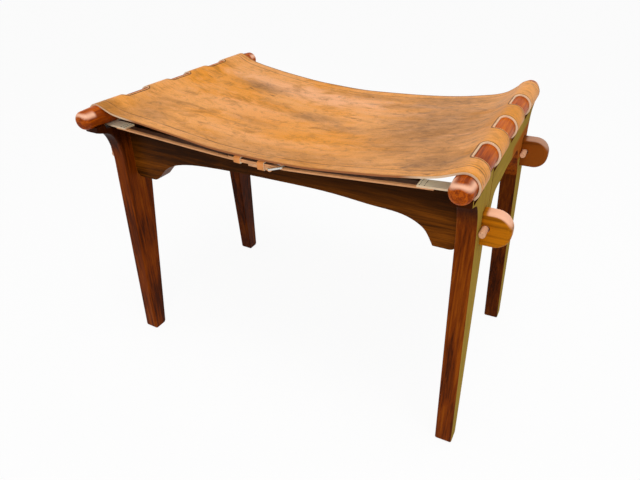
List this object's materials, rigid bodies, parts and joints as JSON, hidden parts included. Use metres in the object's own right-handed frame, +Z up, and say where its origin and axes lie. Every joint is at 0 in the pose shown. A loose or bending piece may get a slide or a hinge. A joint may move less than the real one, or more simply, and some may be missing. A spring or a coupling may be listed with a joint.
{
  "type": "sling leather stool",
  "caption": "Knock-down wooden stool with a sagging leather sling hung from two round rails, scrolled aprons with pegged through tenons and buckled belts under the seat.",
  "frame": {"origin": "on the floor under the middle of the seat", "axes": "+Z up, X along the long side, +Y from the front to the rear"},
  "size_m": [0.675, 0.452, 0.4559],
  "materials": {
    "frame_wood": "gloss lacquer",
    "apron_wood": "gloss lacquer",
    "peg_wood": "bare",
    "seat_leather": "smooth",
    "strap_leather": "smooth",
    "keeper_leather": "smooth",
    "buckle_steel": "bright"
  },
  "bodies": {
    "stool": {"buckle_front": "buckle_steel", "buckle_mid_front": "buckle_steel", "buckle_mid_rear": "buckle_steel", "buckle_rear": "buckle_steel", "buckle_strap_front": "strap_leather", "buckle_strap_mid_front": "strap_leather", "buckle_strap_mid_rear": "strap_leather", "buckle_strap_rear": "strap_leather", "end_apron_left": "frame_wood", "end_apron_right": "frame_wood", "keeper_inner_front": "keeper_leather", "keeper_inner_mid_front": "keeper_leather", "keeper_inner_mid_rear": "keeper_leather", "keeper_inner_rear": "keeper_leather", "keeper_outer_front": "keeper_leather", "keeper_outer_mid_front": "keeper_leather", "keeper_outer_mid_rear": "keeper_leather", "keeper_outer_rear": "keeper_leather", "leg_front_left": "frame_wood", "leg_front_right": "frame_wood", "leg_rear_left": "frame_wood", "leg_rear_right": "frame_wood", "prong_front": "buckle_steel", "prong_mid_front": "buckle_steel", "prong_mid_rear": "buckle_steel", "prong_rear": "buckle_steel", "rail_dowels_left": "peg_wood", "rail_dowels_right": "peg_wood", "rail_left": "frame_wood", "rail_right": "frame_wood", "seat_leather": "seat_leather", "side_apron_front": "apron_wood", "side_apron_rear": "apron_wood", "tail_strap_front": "strap_leather", "tail_strap_mid_front": "strap_leather", "tail_strap_mid_rear": "strap_leather", "tail_strap_rear": "strap_leather"},
    "peg_front_left_body": {"peg_front_left": "peg_wood"},
    "peg_front_right_body": {"peg_front_right": "peg_wood"},
    "peg_rear_left_body": {"peg_rear_left": "peg_wood"},
    "peg_rear_right_body": {"peg_rear_right": "peg_wood"}
  },
  "joints": [
    {"name": "peg_front_left_pull", "type": "slide", "parent": "stool", "child": "peg_front_left_body", "axis": [0, -1, 0], "range_m": [0, 0.034]},
    {"name": "peg_front_right_pull", "type": "slide", "parent": "stool", "child": "peg_front_right_body", "axis": [0, -1, 0], "range_m": [0, 0.034]},
    {"name": "peg_rear_left_pull", "type": "slide", "parent": "stool", "child": "peg_rear_left_body", "axis": [0, -1, 0], "range_m": [0, 0.034]},
    {"name": "peg_rear_right_pull", "type": "slide", "parent": "stool", "child": "peg_rear_right_body", "axis": [0, -1, 0], "range_m": [0, 0.034]}
  ]
}
